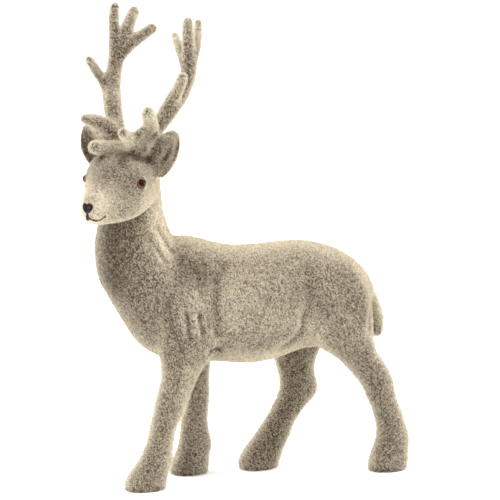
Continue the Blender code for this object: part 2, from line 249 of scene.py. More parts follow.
# Beside a painted line the skin stays up: wholly within a millimetre, fading over the next one and a half.
UP_BESIDE_PAINT = 1.7
UP_FADE = 1.5
# Each row is a depth or, without the minus sign, a height, a width and a path, in millimetres.
BODY_FOLDS = (
    # The shoulder's three grooves and its front edge
    (-2.3, 1.9, ((21.2, -37.1, 103.3), (22.2, -36.6, 96.6), (22.8, -35.9, 88.5))),
    (-2.1, 1.7, ((20.8, -29.4, 102), (21.6, -28.8, 96), (22.2, -28.1, 90.9))),
    (-1.0, 1.5, ((19.5, -24.3, 99.3), (20.6, -24.1, 93.7))),
    (-1.7, 2.6, ((18.4, -47.4, 110.8), (20.2, -46.8, 100.9), (21.8, -43.8, 89.5), (22.3, -40.5, 83.7))),
    # The elbow's crease and the fold behind the shoulder
    (-2.0, 2.0, ((19.5, -22.6, 79.6), (18.3, -20.4, 80.3), (14, -17, 79.6), (12.4, -13.9, 77.5))),
    (-2.0, 3.6, ((15.1, -14.6, 126.6), (17.5, -18.3, 120.4), (18.9, -19.4, 109.2), (18.6, -18.6, 90))),
    # The flank's hollow, the front of the thigh and the side of the tail
    (-1.6, 5, ((17, 36, 120), (19.8, 36.5, 106), (19.3, 34.3, 95.5))),
    (-2.0, 2.8, ((14.2, 22.8, 78.3), (15.5, 29, 82.3), (18.1, 32.9, 89.5), (19.6, 34.2, 97.4))),
    (-0.9, 2.2, ((9.4, 76.9, 108), (16.4, 74.9, 97.5), (19, 73.4, 86.3))),
    # Two wrinkles on the neck
    (-1.1, 1.7, ((14.1, -56.4, 145.9), (14.3, -51.8, 138.8), (14.7, -47.4, 131.9))),
    (-1.1, 1.7, ((11.3, -50.9, 150.8), (10.3, -46.6, 143.6), (10.4, -42.6, 136.6))),
    # Bulges: the ribs, the thigh and the shoulder blade
    (1.7, 8, ((18, 0, 116), (19.5, 16, 114), (20.6, 17, 100), (20, 3, 94), (18, 0, 116))),
    (1.2, 6, ((19, 50, 108), (20.5, 56, 94))),
    (1.0, 5, ((18.5, -34, 121), (19.5, -32, 110))),
)


def bell(distance, width):
    """e to the minus square of distance over width: one on the path, a third at the width, then nothing."""
    return np.exp(-((distance / width) ** 2))


def mesh_normals(mesh):
    """The outward direction at every point."""
    normals = np.empty(len(mesh.vertices) * 3)
    mesh.vertex_normals.foreach_get("vector", normals)
    return normals.reshape(-1, 3)


def far_side(path):
    """The path on the animal's other flank, as far from the body's middle plane."""
    return tuple((2 * BODY_MIDDLE - x, y, z) for x, y, z in path)


points = mesh_points(figure.data)
push = np.full(len(points), -FIBRE_ROOM)
painted_fold_shading = np.zeros(len(points))
for depth, width, path in BODY_FOLDS:
    beside = np.minimum(how_far(points, path), how_far(points, far_side(path)))
    push += depth * bell(beside, width)
    # Painted shade in a fold, painted highlight on a bulge
    painted_fold_shading -= FOLD_SHADING * depth / width**TONE_POWER * bell(beside, TONE_WIDTH * width)
for middle in eye_middles.values():
    reach = np.linalg.norm(points - middle, axis=1)
    push += (LID_RISE + FIBRE_ROOM) * bell(reach - eye_radius - LID_OUT, LID_WIDTH)
near_lines = np.min([how_far(points, from_head(path)) for path in FACE_LINES], axis=0)
push += FIBRE_ROOM * np.clip(UP_BESIDE_PAINT - near_lines / UP_FADE, 0, 1)
put_points(figure.data, points + push[:, None] * mesh_normals(figure.data))
print("deepest fold, mm:", round(float(-push.min()), 2))

# %% [markdown]
# ## The pile's small lumps
# Flock never stands quite even. Smooth random numbers on a lattice of corners are blended across each cell
# (value noise), at two cell sizes, and push the skin in and out by up to a quarter of a millimetre.

# %% Uneven pile
# Each row is how far the lumps push and how wide a cell is, in millimetres.
LUMPS = ((0.10, 2.1), (0.14, 5.5))
SOLE_SNAP = 0.35
# Large numbers that stir a corner's place into a number that looks random.
AXIS_FACTORS = (73856093, 19349663, 83492791)
SEED_FACTOR = 2654435761
STIR_FACTOR = 1274126177
STIR_SHIFT = 13
LARGEST_HASH = 0x7FFFFFFF
HALF_HASH = 0x3FFFFFFF


def lattice_noise(points, cell, seed):
    """Value noise from -1 to 1: hashed numbers at the corners of cells, eased across each cell."""
    place = points / cell
    corner = np.floor(place).astype(np.int64)
    share = place - corner
    share = share * share * (3 - 2 * share)
    total = np.zeros(len(points))
    for step in np.ndindex(2, 2, 2):
        x, y, z = ((corner + step) * AXIS_FACTORS).T
        mixed = x ^ y ^ z ^ (seed * SEED_FACTOR)
        mixed = (mixed ^ (mixed >> STIR_SHIFT)) * STIR_FACTOR & LARGEST_HASH
        value = mixed / HALF_HASH - 1
        weight = np.prod(np.where(np.array(step) == 1, share, 1 - share), axis=1)
        total += weight * value
    return total


points = mesh_points(figure.data)
lumps = sum(height * lattice_noise(points, cell, seed) for seed, (height, cell) in enumerate(LUMPS, 1))
points = points + lumps[:, None] * mesh_normals(figure.data)
points[points[:, 2] < SOLE_SNAP, 2] = 0
put_points(figure.data, points)
figure.data.polygons.foreach_set("use_smooth", np.ones(len(figure.data.polygons), bool))
figure.data.materials.clear()
triangles = sum(len(face.vertices) - 2 for face in figure.data.polygons)
print("triangles of the figure:", triangles)

# %% [markdown]
# ## Paint, painted shade and painted sheen by attribute
# The airbrush gives soft dark clouds, and some places stay paler than the rest. Some clouds are painted
# shade:
# beneath the antlers' roots and brow tines, in the left elbow's crease, in a thin ring round each eye, and on
# the right legs, which the body shades. The folds carry painted shade and the bulges a painted highlight from
# the carving. Each cloud is a strength, a width and a path; its bell curve is added to one number per point,
# "shade", which the material reads. A minus sign keeps a place pale. Skin that faces sideways is painted
# darker than the back and the edges of the limbs, a painted sheen that draws the pile's pale outline: the
# square of the cosine to that side gives it.

# %% The clouds of the airbrush, painted shade and painted sheen
# Painted sheen and shade: skin facing this side is painted darker, skin turned away from it paler.
SHEEN_AZIMUTH = math.radians(76)
SHEEN_SIDE = np.array((math.sin(SHEEN_AZIMUTH), -math.cos(SHEEN_AZIMUTH), 0))
PAINTED_SHEEN = 0.55
SHEEN_EVEN = 0.4
SOLE_TONE = 0.6
SOLE_WIDTH = 1.8
# A thin ring of painted shade round each eye, where the lid meets it
EYE_RIM_SHADE = 0.6
EYE_RIM_OUT = 0.3
EYE_RIM_WIDTH = 0.5
# Both flanks
FLANK_CLOUDS = (
    (0.4, 7, ((12.8, -37, 131.5), (16.5, -26.4, 122.8))),
    (-0.25, 11, ((21, 4, 112), (22, 14, 98))),
    (-0.5, 9, ((18, -11, 114), (19, -9, 96))),
    (-0.28, 7, ((19, -34, 112), (21, -34, 96))),
    (0.25, 9, ((17, 60, 118), (18, 70, 100))),
    (-0.45, 8, ((18, 36, 92), (18.5, 42, 84))),
    (-0.45, 6, ((14, -8, 73), (12, 10, 71), (14, 28, 75))),
)
# The left legs, then the right ones, which are painted darker: painted shade, as the body shades them
LEG_CLOUDS = (
    (0.3, 5, ((19.4, -52, 78), (18.4, -57, 45), (15.4, -66, 14))),
    (-0.3, 4, ((19.4, -36, 70), (16.4, -40, 45), (14.4, -48, 14))),
    (0.18, 7, ((18, 72, 70), (15, 84, 40), (12, 88, 8))),
    (0.5, 6, ((-6, -36, 60), (-6, -35, 30), (-6, -30, 5))),
    (0.4, 8, ((-6, 40, 66), (-6, 36, 45), (-8, 20, 10))),
)
# One side only: the left elbow's crease, painted shade, the front of the neck, the breast, the neck's pale
# side, the face's far side
FRONT_CLOUDS = (
    (1.0, 2.6, ((19, -21.5, 80), (14, -17, 79.3))),
    (0.78, 12, ((4, -74.5, 158), (7, -78.5, 125))),
    (0.42, 14, ((7, -74.5, 112), (7, -66.5, 96))),
    (-0.6, 9, ((14, -50, 156), (16, -46, 138))),
    (0.5, 6, ((11, -86, 190), (14.5, -89.7, 187.3), (21.3, -94.4, 181.3))),
)
# In the head's own directions, and on both its sides. The third, fourth and sixth rows are painted shadow
# beneath the antlers' roots and brow tines.
HEAD_CLOUDS = (
    (0.35, 8, ((7, 0, 8), (-2, 0, 13), (-9, 0, 15))),
    (0.4, 6, ((11, 0, 4), (18, 0, -2))),
    (1.0, 2.8, ((-3, 3, 13.5), (-5, 10, 13))),
    (1.3, 2.8, ((-6, 13, 12), (-11, 15, 10))),
    (0.3, 1.8, ((25.5, 5, -14.5), (24, 7, -16))),
    (1.5, 2.8, ((0, -8, 13.5), (6, -8, 10.5))),
    (0.3, 1.6, ((1.6, 16.4, 1.4), (4.5, 14.6, 0.4))),
    (-0.2, 7, ((6, 15, -10), (12, 10, -12))),
    (-0.1, 5, ((-4, 15, -11), (4, 14, -14))),
    (-0.6, 8, ((20, 6, -8), (25, 4, -14), (25, 0, -20))),
)

points = mesh_points(figure.data)
in_head = to_head(points)
skin_facing = mesh_normals(figure.data)
shade = PAINTED_SHEEN * ((skin_facing @ SHEEN_SIDE) ** 2 - SHEEN_EVEN)
for strength, width, path in FLANK_CLOUDS:
    shade += strength * bell(how_far(points, path), width)
    shade += strength * bell(how_far(points, far_side(path)), width)
for strength, width, path in FRONT_CLOUDS + LEG_CLOUDS:
    shade += strength * bell(how_far(points, path), width)
shade += painted_fold_shading
shade += SOLE_TONE * bell(points[:, 2], SOLE_WIDTH)
# Painted shade round each eye
for middle in eye_middles.values():
    reach = np.linalg.norm(points - middle, axis=1)
    shade += EYE_RIM_SHADE * bell(reach - eye_radius - EYE_RIM_OUT, EYE_RIM_WIDTH)
head_shade = np.zeros(len(points))
for strength, width, path in HEAD_CLOUDS:
    beside = np.minimum(how_far(in_head, path), how_far(in_head, mirrored(path)))
    head_shade += strength * bell(beside, width)
print("tone of the body, from", round(float(shade.min()), 2), "to", round(float(shade.max()), 2))

# %% [markdown]
# ## Antlers
# The antlers stay pale, with a browner middle and a brown dot on every tip. Their paths are the branches of
# the two antlers, root first, so the last spot of each is a tip. Tones near a path are cheaper than painting
# a picture for the skin, and they follow the branches whatever the mesh is.

# %% Pale antlers with brown tips
ANTLER_REACH = 7
ANTLER_EDGE = 2
ANTLER_FOOT = 9
ANTLER_FOOT_EDGE = 5
ANTLER_TONE = 0.12
TIP_TONE = 0.9
TIP_WIDTH = 1.5
PALE_TONE = -0.25
PALE_LENGTH = 6
PALE_WIDTH = 6
FORKS = ((-41.8, -25.8, 64), (-41.3, 23.2, 60))
FORK_TONE = 0.12
FORK_WIDTH = 9
ANTLERS = (
    ((-19, -8, 8), (-22, -12, 22), (-30.5, -21.5, 39.5), (-40, -26, 55), (-42, -26, 68), (-41.5, -26, 92)),
    ((-42, -26, 66), (-48.5, -24, 75), (-57.5, -24, 88)),
    ((-42, -25.5, 62), (-46, -21, 68), (-56, -10, 79)),
    ((-34, -25, 44), (-25, -33, 62.5)),
    ((-21, -11, 21), (-14, -14.8, 27), (-1, -20, 32)),
    ((-17, -7, 14), (-8, -7.3, 15.3), (8, -8, 17.8)),
    ((-19, 7.6, 9), (-24.3, 16.6, 30.7), (-34, 21.4, 43.3), (-41, 23.4, 56), (-41.5, 23, 70), (-41, 23, 85)),
    ((-42, 23.6, 59), (-48, 23.7, 69), (-58, 19.4, 83.5)),
    ((-41, 23, 57), (-44.5, 17, 65), (-56, 5.2, 75.5)),
    ((-28, 15, 33), (-26.5, 20.5, 40.5), (-23, 31, 56)),
    ((-20.5, 12, 21), (-13, 16.5, 28), (-0.4, 22.8, 39)),
    ((-17, 6.6, 14), (-7, 8.6, 19.7), (9, 12.2, 27.5)),
)
away = np.min([how_far(in_head, path) for path in ANTLERS], axis=0)
on_antler = np.clip((ANTLER_REACH - away) / ANTLER_EDGE, 0, 1)
on_antler *= np.clip((in_head[:, 2] - ANTLER_FOOT) / ANTLER_FOOT_EDGE, 0, 1)
head_shade = head_shade * (1 - on_antler) + ANTLER_TONE * on_antler
for path in ANTLERS:
    tip = np.array(path[-1], float)
    before = np.array(path[-2], float)
    pale_from = tip - PALE_LENGTH * (tip - before) / np.linalg.norm(tip - before)
    head_shade += TIP_TONE * bell(np.linalg.norm(in_head - tip, axis=1), TIP_WIDTH)
    head_shade += PALE_TONE * bell(how_far(in_head, (pale_from, tip)), PALE_WIDTH)
for fork in FORKS:
    head_shade += FORK_TONE * bell(np.linalg.norm(in_head - fork, axis=1), FORK_WIDTH)
print("points on the antlers:", int((on_antler > 0.5).sum()))

# %% [markdown]
# ## Ears
# An ear is a cupped leaf with a pale rim. Inside the rim the paint is dark along the front and browner at the
# back, so every point gets its place along and across the leaf first.

# %% Painted ears
EAR_LENGTH = 27.8
EAR_HALF_WIDTH = 8.8
EAR_TONE = 0.1
CUP_TONE = -0.22
CUP_SHARPNESS = 2
CUP_START = 0.4
CUP_RISE = 8
# What counts as ear: shares of its length, then millimetres to either side and to the front and back.
EAR_LOW = -0.05
EAR_HIGH = 1.1
EAR_ASIDE = 10.5
EAR_AHEAD = 6
# The rim is an ellipse about the leaf's middle, and its tone grows from four fifths of the way out.
RIM_HALF_LENGTH = 0.56
RIM_START = 0.8
RIM_TONE = -0.5
FRONT_EDGE_TONE = 0.45
FRONT_EDGE_PLACE = -5.5
FRONT_EDGE_WIDTH = 2
FRONT_EDGE_END = 0.7
# Two streaks in the cup: strength, place and width across. The short one has a place and a width along too.
SHORT_STREAK = (1.1, 1.5, 1.4)
SHORT_STREAK_ALONG = (0.45, 0.28)
LONG_STREAK = (0.85, 5.8, 2.4)
# For each ear its root and the way it points, in the head's directions, and the side it is on.
EARS = (((-12.6, 18.3, 1.7), (-3.6, 10.3, 20.8), 1), ((-15.7, -17.2, 3.5), (-4, -13.8, 20.3), -1))
facing_in_head = skin_facing @ np.stack([FORWARD, LEFTWARD, UPWARD]).T
for root, leaf, outward in EARS:
    leaf = np.array(leaf, float) / np.linalg.norm(leaf)
    opens = np.array((1.0, 0, 0)) - leaf * leaf[0]
    opens /= np.linalg.norm(opens)
    across = outward * np.cross(leaf, opens)
    along, aside, ahead = ((in_head - np.array(root, float)) @ np.stack([leaf, across, opens]).T).T
    along = along / EAR_LENGTH
    on_ear = (along > EAR_LOW) & (along < EAR_HIGH) & (on_antler < 0.5)
    on_ear &= (np.abs(aside) < EAR_ASIDE) & (np.abs(ahead) < EAR_AHEAD)
    inner = np.clip(facing_in_head @ opens * CUP_SHARPNESS, 0, 1) * on_ear
    inner = inner * np.clip(along * CUP_RISE + CUP_START, 0, 1)
    from_leaf_middle = np.hypot(aside / EAR_HALF_WIDTH, (along - 0.5) / RIM_HALF_LENGTH)
    rim = np.clip((from_leaf_middle - RIM_START) / (1 - RIM_START), 0, 1)
    front_edge = bell(aside - FRONT_EDGE_PLACE, FRONT_EDGE_WIDTH) * (along < FRONT_EDGE_END)
    strength, place, width = SHORT_STREAK
    place_along, width_along = SHORT_STREAK_ALONG
    streak = strength * bell(aside - place, width) * bell(along - place_along, width_along)
    strength, place, width = LONG_STREAK
    streak = streak + strength * bell(aside - place, width)
    head_shade += inner * (streak + CUP_TONE)
    head_shade += on_ear * (EAR_TONE + FRONT_EDGE_TONE * front_edge + RIM_TONE * rim)
    print("points on an ear:", int(on_ear.sum()))
shade += head_shade

# %% [markdown]
# ## Nose and mouth
# The nose and the mouth are brushed on over the flock with a thick black paint that glues the fibres flat.
# An outline is drawn as seen from the front, and the small skin faces inside it get the paint.

# %% Which faces are painted
NOSE_BACK = 18
BOLD_LINE = 2
NEVER_ZERO = 1e-9


def inside(flat, outline):
    """Which flat points lie within a closed outline: each edge crossed by a level ray flips the answer."""
    outline = np.array(outline, float)
    answer = np.zeros(len(flat), bool)
    for (x0, y0), (x1, y1) in zip(outline, np.roll(outline, -1, axis=0)):
        crossed = (y0 > flat[:, 1]) != (y1 > flat[:, 1])
        reach = x0 + (flat[:, 1] - y0) * (x1 - x0) / (y1 - y0 + NEVER_ZERO)
        answer ^= crossed & (flat[:, 0] < reach)
    return answer


corner_of_face = np.empty(sum(len(face.vertices) for face in figure.data.polygons), int)
figure.data.polygons.foreach_get("vertices", corner_of_face)
face_start = np.empty(len(figure.data.polygons), int)
figure.data.polygons.foreach_get("loop_start", face_start)
face_size = np.diff(np.append(face_start, len(corner_of_face)))
face_middle = np.add.reduceat(in_head[corner_of_face], face_start) / face_size[:, None]
from_middle = np.abs(face_middle[:, 1] - FACE_MIDDLE)
face_painted = inside(np.stack([from_middle, face_middle[:, 2]], 1), NOSE_HALF)
face_painted &= face_middle[:, 0] > NOSE_BACK
for path in (PHILTRUM, MOUTH, mirrored(MOUTH, FACE_MIDDLE)):
    face_painted |= how_far(face_middle, path) < LINE_WIDTH / 2
face_painted |= how_far(face_middle, mirrored(MOUTH, FACE_MIDDLE)[:2]) < BOLD_LINE / 2
painted = np.zeros(len(points), bool)
painted[corner_of_face[np.repeat(face_painted, face_size)]] = True
print("painted faces:", int(face_painted.sum()))

# %% [markdown]
# ## How strongly the flecks show
# The flock is speckled most on the front of the neck and least on the face, with the forehead and the
# antlers in between. One number per point, "grain", holds that, and the material multiplies its flecks by it.

# %% Keep the tone and the grain in the mesh
HEAD_GRAIN = -0.35
HEAD_FROM = 150
HEAD_FADE = 25
NECK_GRAIN = (0.35, 17, ((4, -74, 158), (7, -78, 125), (9, -68, 100)))
FOREHEAD_GRAIN = (0.3, 9, ((-6, 0, 12), (12, 0, 4)))
ANTLER_GRAIN = 0.3


def keep(piece, name, values):
    """Keeps one number per point in the piece's mesh under the name."""
    kept = piece.data.attributes.new(name, "FLOAT", "POINT")
    kept.data.foreach_set("value", np.asarray(values, np.float32))


grain = 1 + HEAD_GRAIN * np.clip((points[:, 2] - HEAD_FROM) / HEAD_FADE, 0, 1)
strength, width, path = NECK_GRAIN
grain += strength * bell(how_far(points, path), width)
strength, width, path = FOREHEAD_GRAIN
grain += strength * bell(how_far(in_head, path), width) + ANTLER_GRAIN * on_antler
keep(figure, "shade", shade)
keep(figure, "grain", grain)
print("grain, from", round(float(grain.min()), 2), "to", round(float(grain.max()), 2))

# %% [markdown]
# ## Materials
# Colours are given as sRGB hex values, as in a paint program, and turned to the linear values that the
# renderer counts in.

# %% Colour and node helpers
def linear(hex_colour):
    """An sRGB hex colour as a linear colour with full opacity."""
    parts = np.array([int(hex_colour[at : at + 2], 16) for at in (1, 3, 5)]) / 255
    parts = np.where(parts <= 0.04045, parts / 12.92, ((parts + 0.055) / 1.055) ** 2.4)
    return (*parts.tolist(), 1.0)


def add(tree, kind, settings=None, links=None):
    """Adds a node; settings go to its properties or input sockets, links join its inputs to other outputs."""
    node = tree.nodes.new(kind)
    for name, value in (settings or {}).items():
        if isinstance(name, str) and hasattr(node, name):
            setattr(node, name, value)
        else:
            node.inputs[name].default_value = value
    for name, output in (links or {}).items():
        tree.links.new(output, node.inputs[name])
    return node


def new_material(name):
    """An empty node material and its output node."""
    made = bpy.data.materials.new(name)
    made.use_nodes = True
    made.node_tree.nodes.clear()
    return made, add(made.node_tree, "ShaderNodeOutputMaterial")


# %% [markdown]
# ## Nylon flock
# Flock is cut nylon fibre: matt, with pale tips and shade between the roots. A real fibre is a few hundredths
# of a millimetre thick, far too fine to show here. The grain that the eye sees is tufts of lighter and darker
# fibres, and it is drawn as flecks of half a millimetre, stretched along the way the fibres were combed. A
# cell pattern gives each tuft its own tone, and a noise breaks up its edges.

# %% Nylon flock, glued and airbrushed
PALE_FIBRE = "#F0E5CD"
# The dark end serves the dark fibres and the airbrush, and also all painted shade.
DARK_FIBRE_AND_SHADE = "#3A2813"
SHEEN_TINT = "#FFF6E6"
FLECK_SIZE = 0.5
FLECK_SPREAD = 0.38
COMBED = math.radians(37)
COMBED_STRETCH = 1.7
# The roots, deep in the pile, are painted darker as painted shade.
PAINTED_ROOT_SHADE = 0.7
SHADE_TONE = 0.4


def flock_material(name, tip_tone):
    """Nylon flock: short beige fibres on end, with painted shade at the root, and dark airbrush paint,
    painted shade and painted sheen over them.
    """
    made, output = new_material(name)
    tree = made.node_tree
    place = add(tree, "ShaderNodeTexCoord").outputs["Object"]
    shade = add(tree, "ShaderNodeAttribute", {"attribute_name": "shade"}).outputs["Fac"]
    grain = add(tree, "ShaderNodeAttribute", {"attribute_name": "grain"}).outputs["Fac"]
    tip = add(tree, "ShaderNodeAttribute", {"attribute_name": "tip"}).outputs["Fac"]
    combed = {"vector_type": "TEXTURE", "Rotation": (COMBED, 0, 0), "Scale": (1, 1, COMBED_STRETCH)}
    place = add(tree, "ShaderNodeMapping", combed, {"Vector": place}).outputs[0]
    noise = {"Scale": 1 / (FLECK_SIZE * MM), "Detail": 2, "Roughness": 0.6, "Distortion": 0.4}
    tufts = add(tree, "ShaderNodeTexNoise", noise, {"Vector": place}).outputs["Fac"]
    cells = {"Scale": 1 / (FLECK_SIZE * MM)}
    clump = add(tree, "ShaderNodeTexVoronoi", cells, {"Vector": place}).outputs["Color"]
    clump = add(tree, "ShaderNodeSeparateColor", None, {"Color": clump}).outputs["Red"]
    mixed = add(tree, "ShaderNodeMix", {0: 0.65}, {2: tufts, 3: clump}).outputs[0]
    spread = {"From Min": 0.1, "From Max": 0.9, "To Min": FLECK_SPREAD, "To Max": -FLECK_SPREAD}
    fleck = add(tree, "ShaderNodeMapRange", spread, {"Value": mixed}).outputs[0]
    fleck = add(tree, "ShaderNodeMath", {"operation": "MULTIPLY"}, {0: fleck, 1: grain}).outputs[0]
    depths = {"To Min": PAINTED_ROOT_SHADE, "To Max": tip_tone}
    deep = add(tree, "ShaderNodeMapRange", depths, {"Value": tip}).outputs[0]
    tone = add(tree, "ShaderNodeMath", {"operation": "ADD"}, {0: fleck, 1: deep}).outputs[0]
    painted_on = {"operation": "MULTIPLY_ADD", "use_clamp": True, 1: SHADE_TONE}
    tone = add(tree, "ShaderNodeMath", painted_on, {0: shade, 2: tone}).outputs[0]
    colours = {"data_type": "RGBA", 6: linear(PALE_FIBRE), 7: linear(DARK_FIBRE_AND_SHADE)}
    colour = add(tree, "ShaderNodeMix", colours, {0: tone}).outputs[2]
    lumpy = {"Strength": 0.6, "Distance": 0.5 * MM}
    bump = add(tree, "ShaderNodeBump", lumpy, {"Height": tufts}).outputs[0]
    settings = {
        "Roughness": 0.95,
        "Sheen Weight": 1.0,
        "Sheen Roughness": 0.4,
        "Sheen Tint": linear(SHEEN_TINT),
        "Specular IOR Level": 0.2,
    }
    shader = add(tree, "ShaderNodeBsdfPrincipled", settings, {"Base Color": colour, "Normal": bump})
    tree.links.new(shader.outputs[0], output.inputs["Surface"])
    return made


# %% [markdown]
# ## Black enamel
# The nose and the mouth are thick enamel brushed on the flock. It glues the fibres into lumps of about a
# millimetre, and it is half glossy, with a soft grey painted highlight where the lumps stand high. One noise
# drives the lumps, the gloss and the painted highlight, because on the real one they go together.

# %% Black enamel for the nose and mouth
ENAMEL_BLACK = "#0B0907"
# The grey is a painted highlight on the lumps that stand high.
ENAMEL_HIGHLIGHT = "#5A5044"
ENAMEL_LUMP = 10 / 9


def enamel_material():
    """Thick black paint over flock: half glossy and lumpy, with a grey painted highlight on the lumps."""
    made, output = new_material("black_enamel_paint")
    tree = made.node_tree
    place = add(tree, "ShaderNodeTexCoord").outputs["Object"]
    noise = {"Scale": 1 / (ENAMEL_LUMP * MM), "Detail": 2}
    lumps = add(tree, "ShaderNodeTexNoise", noise, {"Vector": place}).outputs["Fac"]
    gloss = add(tree, "ShaderNodeMapRange", {"To Min": 0.35, "To Max": 0.6}, {"Value": lumps})
    highlight = add(tree, "ShaderNodeMapRange", {"From Min": 0.55, "From Max": 0.75}, {"Value": lumps})
    colours = {"data_type": "RGBA", 6: linear(ENAMEL_BLACK), 7: linear(ENAMEL_HIGHLIGHT)}
    colour = add(tree, "ShaderNodeMix", colours, {0: highlight.outputs[0]})
    bump = add(tree, "ShaderNodeBump", {"Strength": 0.5, "Distance": 0.3 * MM}, {"Height": lumps})
    settings = {"IOR": 1.5, "Specular IOR Level": 0.2}
    links = {"Base Color": colour.outputs[2], "Roughness": gloss.outputs[0], "Normal": bump.outputs[0]}
    shader = add(tree, "ShaderNodeBsdfPrincipled", settings, links)
    tree.links.new(shader.outputs[0], output.inputs["Surface"])
    return made


# %% [markdown]
# ## Dress the figure
# The skin's dark is painted shade, deep between the roots of the pile.
# The skin under the fibres is dark all over, as flock is between its roots. It takes the place of the solid
# that was packed and rides on the figure's one body.

# %% Dress the figure
keep(figure, "tip", np.zeros(len(points)))
figure.data.materials.append(flock_material("nylon_flock_airbrushed_and_shaded", PAINTED_ROOT_SHADE))
figure.data.materials.append(enamel_material())
figure.data.polygons.foreach_set("material_index", face_painted.astype(np.int32))
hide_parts("reindeer")
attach(figure, "root")

# %% [markdown]
# ## Fibres that stand on end
# Flock is shot at wet glue in an electric field, so each fibre lands end first. Seen from the side the pale
# tips overlap, and that gives the animal its soft, light outline. Here each fibre is one thin triangle that
# is widest at its tip, several times as wide as a real fibre so that it shows. It stands on a random spot of
# the skin, every spot equally likely, and leans a little.

# %% Scatter the roots
SEED = 7
FIBRES = 440000
FIBRE_LENGTH = 1.1
FIBRE_WIDTH = 0.19
FIBRE_LEAN = 0.36
FIBRE_ROOT = 0.1
BARE_PAINT = 0.1
BARE_SOLE = 0.3
BARE_BESIDE_EYES = 0.45


def skin_triangles(mesh):
    """The corner points of every triangle of the skin, three per row."""
    mesh.calc_loop_triangles()
    corners = np.empty(len(mesh.loop_triangles) * 3, int)
    mesh.loop_triangles.foreach_get("vertices", corners)
    return corners.reshape(-1, 3)


def scattered(mesh, count, chance):
    """Random spots: a triangle by its area, then a spot in it by the square root rule, as three shares."""
    points, corners = mesh_points(mesh), skin_triangles(mesh)
    first, second, third = (points[corners[:, corner]] for corner in range(3))
    area = np.linalg.norm(np.cross(second - first, third - first), axis=1)
    chosen = chance.choice(len(corners), size=count, p=area / area.sum())
    root, slide = np.sqrt(chance.random(count)), chance.random(count)
    shares = np.stack([1 - root, root * (1 - slide), root * slide], 1)
    return corners[chosen], shares


chance = np.random.default_rng(SEED)
corners, shares = scattered(figure.data, FIBRES, chance)


def at_spots(values):
    """The values of the skin's points, blended at the scattered spots."""
    return np.einsum("sc,sc...->s...", shares, values[corners])


spot = at_spots(mesh_points(figure.data))
stand = at_spots(mesh_normals(figure.data))
spot_shade, spot_grain = at_spots(shade), at_spots(grain)
bare = (at_spots(painted.astype(float)) > BARE_PAINT) | (spot[:, 2] < BARE_SOLE)
for middle in eye_middles.values():
    bare |= np.linalg.norm(spot - middle, axis=1) < eye_radius + BARE_BESIDE_EYES
spot, stand, spot_shade, spot_grain = spot[~bare], stand[~bare], spot_shade[~bare], spot_grain[~bare]
print("fibres:", len(spot))

# %% [markdown]
# ## Fibres of many lengths and tones
# No two fibres are alike. Each leans its own way, has its own length, shorter on the face, and its own
# paleness, and one in five is dark. The numbers are random but start from one seed, so every run gives the
# same fibres.

# %% Stand the fibres on the skin
SHORTEST = 0.6
LENGTH_SPREAD = 0.6
FACE_FROM = 150
FACE_FADE = 30
FACE_SHORTER = 0.35
DARK_SHARE = 0.2
DARK_PALENESS = 0.15
LEAST_PALENESS = 0.7
PALENESS_SPREAD = 0.3
lean = chance.normal(size=spot.shape)
side = np.cross(stand, chance.normal(size=spot.shape))
side /= np.linalg.norm(side, axis=1)[:, None]
upright = stand + FIBRE_LEAN * lean
upright /= np.linalg.norm(upright, axis=1)[:, None]
head_share = np.clip((spot[:, 2] - FACE_FROM) / FACE_FADE, 0, 1)[:, None]
length = FIBRE_LENGTH * (SHORTEST + LENGTH_SPREAD * chance.random((len(spot), 1)))
length = length * (1 - FACE_SHORTER * head_share)
top = spot + length * upright
# A fibre's corners: a little under the skin, and half a width to either side of its top.
blades = np.stack([spot - FIBRE_ROOT * stand, top - FIBRE_WIDTH / 2 * side, top + FIBRE_WIDTH / 2 * side], 1)
blades[..., 2] = np.maximum(blades[..., 2], 0)
dark = chance.random(len(spot)) < DARK_SHARE
pale = LEAST_PALENESS + PALENESS_SPREAD * chance.random(len(spot))
paleness = np.where(dark, DARK_PALENESS, pale)
print("fibre length, mm, on average:", round(float(length.mean()), 2))

# %% [markdown]
# ## The flock as meshes
# One mesh of all the fibres would have too many triangles, so the legs, the trunk and the head have one each.
# A mesh is filled with whole arrays of corners, because one call for each fibre would take far longer. Each
# corner keeps the tone and the grain of the skin under it. The tips are pale, and the roots are painted dark
# as painted shade deep in the pile.

# %% Three pieces of flock
LEG_TOP = 78
HEAD_BOTTOM = 152
FIBRE_TIP_TONE = 0.0
fibre_flock = flock_material("nylon_flock_fibres", FIBRE_TIP_TONE)


def fibre_piece(name, chosen):
    """One mesh of the chosen fibres, a loose triangle each, with the tone of the skin under it."""
    corners = blades[chosen].reshape(-1, 3)
    mesh = bpy.data.meshes.new(name)
    mesh.vertices.add(len(corners))
    mesh.vertices.foreach_set("co", (corners * MM).ravel())
    mesh.loops.add(len(corners))
    mesh.loops.foreach_set("vertex_index", np.arange(len(corners)))
    mesh.polygons.add(len(corners) // 3)
    mesh.polygons.foreach_set("loop_start", np.arange(0, len(corners), 3))
    mesh.update(calc_edges=True)
    piece = bpy.data.objects.new(name, mesh)
    bpy.context.scene.collection.objects.link(piece)
    keep(piece, "shade", np.repeat(spot_shade[chosen], 3))
    keep(piece, "grain", np.repeat(spot_grain[chosen], 3))
    keep(piece, "tip", np.outer(paleness[chosen], [0, 1, 1]).ravel())
    mesh.materials.append(fibre_flock)
    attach(piece, "root")
    print(name, len(corners) // 3)


fibre_piece("flock_of_the_legs", spot[:, 2] < LEG_TOP)
fibre_piece("flock_of_the_trunk", (spot[:, 2] >= LEG_TOP) & (spot[:, 2] < HEAD_BOTTOM))
fibre_piece("flock_of_the_head", spot[:, 2] >= HEAD_BOTTOM)

